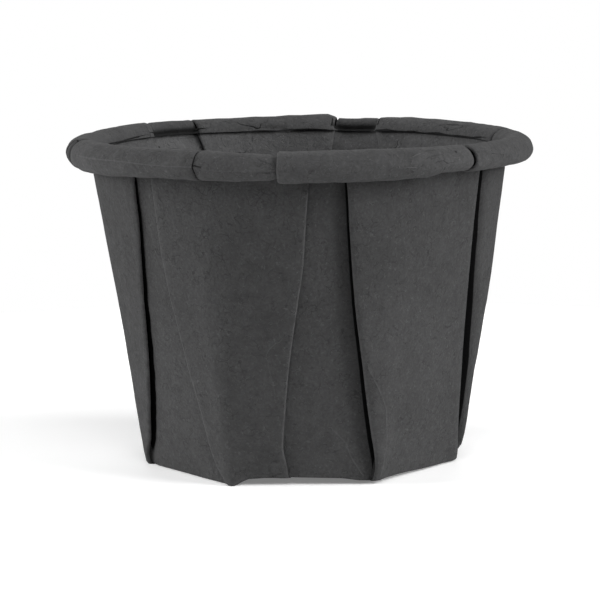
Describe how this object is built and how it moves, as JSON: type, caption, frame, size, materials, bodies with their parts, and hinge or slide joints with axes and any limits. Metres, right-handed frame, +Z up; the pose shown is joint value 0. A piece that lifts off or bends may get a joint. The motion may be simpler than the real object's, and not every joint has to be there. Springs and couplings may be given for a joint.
{
  "type": "pleated paper cup",
  "caption": "Small open cup folded from a single sheet of paper, with flattened pleats up its walls, a flat many-sided base and a rim rolled outward; it holds a portion of sauce or small goods.",
  "frame": {"origin": "centre of the seven-sided base, on its underside", "axes": "+Z up out of the open mouth; -Y is the front, the middle of one base side; +X to the right seen from the front"},
  "size_m": [0.0599, 0.06, 0.042],
  "materials": {
    "black_paper": "matte"
  },
  "bodies": {
    "root": {"paper_cup": "black_paper"}
  },
  "joints": []
}
